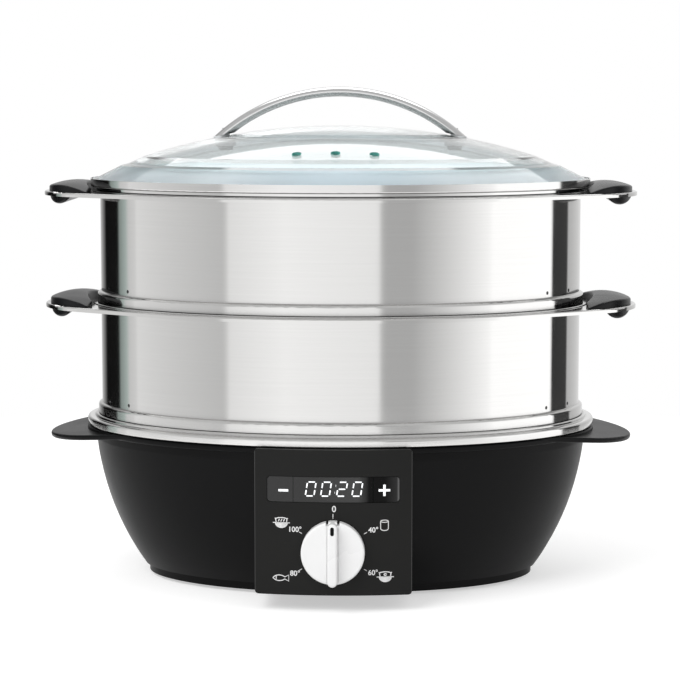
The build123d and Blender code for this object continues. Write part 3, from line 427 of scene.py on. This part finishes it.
# finishes that a piece has of its own, apart from what its slot says
own_finishes = {
    "lid_rim": steel(
        "rim_steel", (0.84, 0.835, 0.825), (0.815, 0.81, 0.8), 0.05, 0.1, depth=0.008, crevices=False,
    ),
    "handle_pads": moulded("clear_silicone", (0.8, 0.82, 0.83), (0.74, 0.76, 0.77), 0.3, 0.4, 1500.0, 0.05),
}
own_finishes["handle_washers"] = own_finishes["handle_pads"]
for part in frame["record"]["subparts"]:
    finish = own_finishes.get(part["node"], finishes[part["material_slot"]])
    nodes[part["node"]].material_slots[0].material = finish


# ---------------------------------------------------------------------- pieces
def piece_from(shape, name, material):
    """Finished object with one material, made from a bmesh."""
    mesh = bpy.data.meshes.new(name)
    shape.to_mesh(mesh)
    shape.free()
    mesh.materials.append(material)
    piece = bpy.data.objects.new(name, mesh)
    bpy.context.scene.collection.objects.link(piece)
    return piece


# ----------------------------------------------------------- marks on the panel
merge_distance = MM / 200
figure_weight = 0.09                         # what the dial's figures are thicker by than the plain font


def on_panel(across, level, lift, sunk=0.0):
    """Point at a place on the panel's curved face, lifted off it."""
    curve = panel_curve + lift - sunk
    return Vector((across, panel_axis - math.sqrt(curve**2 - across**2), level))


def laid_on_panel(name, flat, material, slot, body, sunk=0.0, squeeze=1.0, place=(0, 0)):
    """Turn a flat drawing in millimetres into a piece that lies at a place of the panel's face."""
    mesh = bpy.data.meshes.new_from_object(flat)
    bpy.data.objects.remove(flat)
    shape = bmesh.new()
    shape.from_mesh(mesh)
    bpy.data.meshes.remove(mesh)
    for point in shape.verts:
        across, level, lift = (point.co + Vector((*place, 0))) * MM
        point.co = on_panel(across, level, lift * squeeze + print_lift, sunk)
    bmesh.ops.remove_doubles(shape, verts=shape.verts, dist=merge_distance)
    bmesh.ops.recalc_face_normals(shape, faces=shape.faces)
    piece = piece_from(shape, name, material)
    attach(piece, body)
    return piece


def drawn_lines(name, strokes, width, **where):
    """Lines of one width through points on the panel, given in millimetres."""
    curve = bpy.data.curves.new(name, "CURVE")
    curve.dimensions = "3D"
    curve.bevel_depth = width / 2
    curve.bevel_resolution = 1
    curve.use_fill_caps = True
    for points, closed in strokes:
        line = curve.splines.new("POLY")
        line.points.add(len(points) - 1)
        for spot, (across, level) in zip(line.points, points):
            spot.co = (across, level, 0, 1)
        line.use_cyclic_u = closed
    flat = bpy.data.objects.new(name, curve)
    bpy.context.scene.collection.objects.link(flat)
    bpy.context.view_layer.update()
    return laid_on_panel(name, flat, squeeze=print_depth, **where)


def written(name, words, across, level, size, **where):
    """Plain figures centred on a place of the panel, in millimetres."""
    text = bpy.data.curves.new(name, "FONT")
    text.body = words
    text.size = size
    text.align_x = "CENTER"
    text.align_y = "CENTER"
    text.extrude = print_depth / 2
    text.offset = figure_weight
    flat = bpy.data.objects.new(name, text)
    bpy.context.scene.collection.objects.link(flat)
    bpy.context.view_layer.update()
    return laid_on_panel(name, flat, place=(across, level), **where)


def arc(across, level, half_width, half_height, start, end, steps=12):
    """Points along part of an oval, angles in degrees."""
    turns = [math.radians(start + (end - start) * i / steps) for i in range(steps + 1)]
    return [(across + half_width * math.cos(t), level + half_height * math.sin(t)) for t in turns]


PRINT = {"material": white_print, "slot": "white_plastic", "body": "base"}
SHOWN = {"material": segment_light, "slot": "white_plastic", "sunk": strip_sunk}

# dial: five places that the pointer turns to, a number at each and a tick, which starts
# and ends at these distances from the knob's axis
dial_level = knob_level / MM
zero_tick, tick = (23.2, 26.6), (24.9, 27.2)
tick_width = 0.5
for label, turn, reach, across, level, size in (
    ("0", 0, zero_tick, 0.7, 73.1, 6.0),
    ("40°", 60, tick, 28.1, 58.3, 5.1),
    ("60°", 120, tick, 27.9, 28.1, 5.1),
    ("80°", 240, tick, -26.5, 27.3, 5.1),
    ("100°", 300, tick, -26.6, 58.4, 5.1),
):
    angle = math.radians(turn)
    stroke = [(r * math.sin(angle), dial_level + r * math.cos(angle)) for r in reach]
    place = label.strip("°")
    drawn_lines(f"dial_tick_{place}", [(stroke, False)], tick_width, **PRINT)
    written(f"dial_number_{place}", label, across, level, size, **PRINT)


def pot_mark(name, across, level, steam):
    """Cooking pot with two side handles and a lid, steaming or not."""
    half_width, depth = 4.2, 3.4
    bowl = arc(across, level, half_width, depth, 180, 360)
    handles = [(across - 6, level), (across + 6, level)]
    lid_top = arc(across, level + 2.4, half_width, 1.2, 160, 20, 6)
    lid = [(across - 4.6, level + 3.2), *lid_top, (across + 4.6, level + 3.2)]
    strokes = [(bowl, True), (handles, False), (lid, False)]
    for side in (-1, 1):
        strokes.append(([(across + side * 3.6, level), (across + side * 4, level + 2.8)], False))
    for fill in (0.7, 1.4, 2.1, 2.8):
        half = half_width * math.sqrt(1 - (fill / depth) ** 2) - 0.3
        strokes.append(([(across - half, level - fill), (across + half, level - fill)], False))
    if steam:
        for shift in (-1.8, 0, 1.8):
            wisp = [(across + shift - 0.4, level + 0.8), (across + shift + 0.5, level + 2.6)]
            strokes.append((wisp, False))
    else:
        strokes.append((arc(across, level + 1.6, 0.9, 0.7, 0, 330, 8), False))
    drawn_lines(name, strokes, 0.75, **PRINT)


pot_mark("boiling_pot_mark", -36.1, 63.0, True)
pot_mark("simmering_pot_mark", 36.4, 25.1, False)
jar_x, jar_z = 35.8, 61.6
drawn_lines(
    "jar_mark",
    [
        (arc(jar_x, jar_z + 2.9, 2.7, 0.8, 0, 360, 16), True),
        (
            [(jar_x - 2.7, jar_z + 2.9), (jar_x - 2.7, jar_z - 2.2)]
            + arc(jar_x, jar_z - 2.2, 2.7, 1.5, 180, 360, 8)
            + [(jar_x + 2.7, jar_z + 2.9)],
            False,
        ),
    ],
    0.6,
    **PRINT,
)
fish_x, fish_z = -36.2, 23.9
drawn_lines(
    "fish_mark",
    [
        (
            arc(fish_x - 1.4, fish_z - 1.6, 5.0, 3.6, 152, 40, 10)
            + [(fish_x + 5.2, fish_z + 2.2), (fish_x + 5.2, fish_z - 2.2)]
            + arc(fish_x - 1.4, fish_z + 1.6, 5.0, 3.6, -40, -152, 10),
            True,
        ),
        ([(fish_x - 3.6, fish_z + 1.2), (fish_x - 3.6, fish_z - 1.2)], False),
    ],
    0.7,
    **PRINT,
)

# minus and plus on the keys
sign_width = 1.7
minus_stroke = [(-38.1, 85.8), (-31.2, 85.8)]
plus_strokes = [(31.7, 86.2), (39.7, 86.2)], [(35.7, 82.2), (35.7, 90.2)]
drawn_lines("minus_sign", [(minus_stroke, False)], sign_width, body="minus_button", **SHOWN)
plus_sign = [(stroke, False) for stroke in plus_strokes]
drawn_lines("plus_sign", plus_sign, sign_width, body="plus_button", **SHOWN)

# display: four figures of seven segments, leaning
segment_ends = {
    "top": ((-1, 2), (1, 2)),
    "upper_left": ((-1, 0), (-1, 2)),
    "upper_right": ((1, 0), (1, 2)),
    "middle": ((-1, 0), (1, 0)),
    "lower_left": ((-1, -2), (-1, 0)),
    "lower_right": ((1, -2), (1, 0)),
    "bottom": ((-1, -2), (1, -2)),
}
figures = {
    "0": ("top", "upper_left", "upper_right", "lower_left", "lower_right", "bottom"),
    "2": ("top", "upper_right", "middle", "lower_left", "bottom"),
}
figure_half_width = 3.0
figure_quarter_height = 2.45
figure_lean = math.tan(math.radians(9))
figure_level = 87.2
figure_places = {
    "tens_of_hours": ("0", -15.5),
    "hours": ("0", -4.8),
    "tens": ("2", 6.3),
    "units": ("0", 16.9),
}
segment_width = 0.95
segment_gap = 0.75
colon_width = 1.4


def display_figure(name, shown, across, level):
    """One leaning figure made of straight segments that don't touch."""
    strokes = []
    for segment in figures[shown]:
        start, end = [
            Vector((x * figure_half_width, z * figure_quarter_height)) for x, z in segment_ends[segment]
        ]
        run = (end - start).normalized() * segment_gap
        ends = [start + run, end - run]
        strokes.append(([(across + p.x + p.y * figure_lean, level + p.y) for p in ends], False))
    drawn_lines(name, strokes, segment_width, body="base", **SHOWN)


for place, (shown, across) in figure_places.items():
    display_figure(f"display_{place}", shown, across, figure_level)
colon_dots = [
    [(1.9, figure_level + 2.4), (2.1, figure_level + 2.4)],
    [(1.1, figure_level - 2.4), (1.3, figure_level - 2.4)],
]
drawn_lines("display_colon", [(dot, False) for dot in colon_dots], colon_width, body="base", **SHOWN)

# -------------------------------------------------------------- vents and dents
glass_ratio = (glass_high.y - glass_low.y) / (glass_high.x - glass_low.x)
vent_reach = vent_front / glass_ratio
vent_tilt = math.asin(vent_reach / dome_curve / glass_ratio)
vent_edge_radius = vent_radius - MM / 20     # the edge stands clear of the hole's wall
vent_edge_thickness = MM / 4


def vent_edge(across):
    """Ring inside one of the glass's vents, at right angles to the dome."""
    vent_level = glass_high.z - dome_curve + math.sqrt(dome_curve**2 - vent_reach**2 - across**2)
    middle = (across, oval_middle - vent_front, vent_level - vent_edge_height / 2)
    shape = bmesh.new()
    bmesh.ops.create_cone(
        shape, cap_ends=False, segments=40,
        radius1=vent_edge_radius, radius2=vent_edge_radius, depth=vent_edge_height,
    )
    bmesh.ops.solidify(shape, geom=shape.faces, thickness=vent_edge_thickness)
    bmesh.ops.rotate(shape, verts=shape.verts, matrix=Matrix.Rotation(vent_tilt, 3, "X"))
    bmesh.ops.translate(shape, verts=shape.verts, vec=middle)
    bmesh.ops.recalc_face_normals(shape, faces=shape.faces)
    return shape


# ground edges of the three vents in the glass
for place, across in (("left", -vent_pitch), ("middle", 0), ("right", vent_pitch)):
    piece = piece_from(vent_edge(across), f"vent_edge_{place}", glass_edge)
    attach(piece, "lid")


def basket_dents(level):
    """Flat round dents on a basket's wall, four at each end."""
    shape = bmesh.new()
    for side in (0, math.pi):
        for turn in dent_turns:
            across, inward = math.cos(side + turn), math.sin(side + turn)
            spot = (wall_half_length * across, oval_middle + wall_half_width * inward, level)
            facing = Vector((across / wall_half_length, inward / wall_half_width, 0)).to_track_quat("Z", "Y")
            flat = Matrix.LocRotScale(spot, facing, (1, 1, dent_flatness))
            bmesh.ops.create_uvsphere(shape, u_segments=16, v_segments=8, radius=dent_radius, matrix=flat)
    return shape


# dents in the basket walls that the basket floors rest on, painted dark as shade
for tier in ("lower", "upper"):
    floor_low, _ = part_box(f"{tier}_basket_floor")
    piece = piece_from(basket_dents(floor_low.z - dent_drop), f"{tier}_basket_dents", dent_painted_shade)
    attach(piece, f"{tier}_basket")


# --------------------------------------------------------------- floor and world
floor_radius = 0.9
floor_shade = (0.75, 0.75, 0.75)
floor_lift = 0.5                             # what the floor adds to its shade so that it shows white
mirrored_lift = 0.22                         # the same where steel and gloss mirror the floor

# screens round the object that metal, glass and gloss show: the compass angle from the
# camera where each starts, and how bright it is at its start and at its end
screens = (
    (-180, 0.95, 0.6), (-139.5, 0.006, 0.006), (-113.5, 0.27, 0.5), (-102.5, 0.62, 0.7), (-93.5, 0.8, 0.57),
    (-40.5, 0.85, 1.0), (-20, 1.02, 0.92), (13.5, 0.46, 0.46), (24, 0.46, 1.1), (58, 1.2, 1.25),
    (103, 0.04, 0.05), (125.5, 0.5, 0.85), (180, 0.85, 0.85),
)
screen_edge = 0.8                            # degrees that a screen takes to fade into the next
screen_tints = {-113.5: (0.86, 1.0, 0.95)}   # the screen that starts here is a pale green
ceiling_start, ceiling_full = 0.35, 0.6      # heights between which the screens turn into the ceiling
ceiling_shade = (0.55, 0.55, 0.55)
overhead_start, overhead_end = 0.755, 2.2    # slopes between which the overhead soft box stands
overhead_half_width = 0.36                   # how far the soft box reaches to either side
overhead_edge = 0.05                         # the stretch over which its sides fade
overhead_low, overhead_full = 0.2, 0.3       # heights between which it sets in
overhead_shade = (3.0, 3.0, 3.0)
room_shade = (0.8, 0.8, 0.8)                 # what lights matt surfaces from all round


def seen_directly(tree, rays):
    """One for what the camera sees, by itself or through glass, else zero."""
    total = add_node(tree, "Math", operation="ADD", use_clamp=True)
    join(tree, rays, total, "Is Camera Ray", 0)
    join(tree, rays, total, "Is Transmission Ray", 1)
    return total


def floor_paint():
    """Pale matt floor that shows white and keeps the object's shadow."""
    material, tree, surface = new_material("floor")
    surface.inputs["Base Color"].default_value = (*floor_shade, 1)
    surface.inputs["Roughness"].default_value = 0.9
    surface.inputs["Specular IOR Level"].default_value = 0.0
    surface.inputs["Emission Color"].default_value = (1, 1, 1, 1)
    rays = add_node(tree, "LightPath")
    mirrored = add_node(tree, "Math", operation="MULTIPLY")
    mirrored.inputs[1].default_value = mirrored_lift
    lift = add_node(tree, "Math", operation="MULTIPLY_ADD")
    lift.inputs[1].default_value = floor_lift
    join(tree, rays, mirrored, "Is Glossy Ray", 0)
    join(tree, seen_directly(tree, rays), lift, "Value", 0)
    join(tree, mirrored, lift, "Value", 2)
    join(tree, lift, surface, "Value", "Emission Strength")
    return material


disc = bmesh.new()
bmesh.ops.create_circle(disc, cap_ends=True, segments=96, radius=floor_radius)
floor = piece_from(disc, "floor", floor_paint())


def screen_stops():
    """The ring of screens as stops of a colour ramp that runs once round the compass."""
    stops = []
    for (start, first, last), (end, *_) in zip(screens, screens[1:]):
        tint = screen_tints.get(start, (1, 1, 1))
        stops.append(((start + screen_edge + 180) / 360, [first * c for c in tint]))
        stops.append(((end - screen_edge + 180) / 360, [last * c for c in tint]))
    return stops


def screen_ring(tree, parts):
    """Brightness of the screens in each direction round the object."""
    forward = add_node(tree, "Math", operation="MULTIPLY")
    forward.inputs[1].default_value = -1
    compass = add_node(tree, "Math", operation="ARCTAN2")
    ring = add_node(tree, "ValToRGB")
    fill_ramp(ring, screen_stops())
    join(tree, parts, forward, "Y", 0)
    join(tree, parts, compass, "X", 0)
    join(tree, forward, compass, "Value", 1)
    join(tree, ramp_mask(tree, compass, "Value", -math.pi, math.pi), ring, "Result", "Fac")
    return ring


def above_slope(tree, parts, slope, soft):
    """One for directions steeper than a slope seen away from the camera, else zero."""
    steep = add_node(tree, "Math", operation="MULTIPLY_ADD")
    steep.inputs[1].default_value = -slope
    join(tree, parts, steep, "Y", 0)
    join(tree, parts, steep, "Z", 2)
    return ramp_mask(tree, steep, "Value", 0.0, soft)


def overhead_mask(tree, parts):
    """One inside the overhead soft box, else zero."""
    slopes = add_node(tree, "Math", operation="SUBTRACT", use_clamp=True)
    join(tree, above_slope(tree, parts, overhead_start, 0.03), slopes, "Result", 0)
    join(tree, above_slope(tree, parts, overhead_end, 0.3), slopes, "Result", 1)
    wide, narrow = overhead_half_width + overhead_edge, overhead_half_width - overhead_edge
    within = ramp_mask(tree, distance(tree, parts, "X"), "Value", wide, narrow)
    raised = ramp_mask(tree, parts, "Z", overhead_low, overhead_full)
    return product(tree, product(tree, slopes, "Value", within, "Result"), "Value", raised, "Result")


def studio_world():
    """White to look at, with the screens, the ceiling and the soft box for what mirrors them."""
    world = bpy.data.worlds.new("studio")
    world.use_nodes = True
    tree = world.node_tree
    direction = add_node(tree, "TexCoord")
    parts = add_node(tree, "SeparateXYZ")
    join(tree, direction, parts, "Generated", "Vector")
    high = ramp_mask(tree, parts, "Z", ceiling_start, ceiling_full)
    ceiling = tinted(tree, screen_ring(tree, parts), high, "Result", ceiling_shade, "Color")
    mirrored = tinted(tree, ceiling, overhead_mask(tree, parts), "Value", overhead_shade)
    rays = add_node(tree, "LightPath")
    room = add_node(tree, "Mix", data_type="RGBA")
    room.inputs["A"].default_value = (*room_shade, 1)
    join(tree, mirrored, room, "Result", "B")
    join(tree, rays, room, "Is Glossy Ray", "Factor")
    shown = tinted(tree, room, seen_directly(tree, rays), "Value", (1, 1, 1))
    join(tree, shown, tree.nodes["Background"], "Result", "Color")
    return world


bpy.context.scene.world = studio_world()

# --------------------------------------------------------------- lamp and camera
lamp = bpy.data.lights.new("soft_box", "AREA")
lamp.size = 1.2
lamp.energy = 20
soft_box = bpy.data.objects.new("soft_box", lamp)
soft_box.visible_glossy = False
soft_box.visible_transmission = False
soft_box.location = (-1.0, -1.4, 1.6)
lamp_target = Vector((0, 0, 0.15))
soft_box.rotation_euler = (lamp_target - soft_box.location).to_track_quat("-Z", "Y").to_euler()
bpy.context.scene.collection.objects.link(soft_box)

camera_distance = 1.7323
camera_height = 0.3684
camera_side = math.radians(2)                # how far round to the object's right the camera stands
camera_dip = 0.11067                         # how far it looks down, in radians
lens = bpy.data.cameras.new("camera")
lens.sensor_width = 36
lens.lens = 123.12
camera = bpy.data.objects.new("camera", lens)
camera.location = (
    camera_distance * math.sin(camera_side),
    oval_middle - camera_distance * math.cos(camera_side),
    camera_height,
)
camera.rotation_euler = (math.pi / 2 - camera_dip, 0, camera_side)
bpy.context.scene.collection.objects.link(camera)
bpy.context.scene.camera = camera
bpy.context.scene.view_settings.view_transform = "Standard"
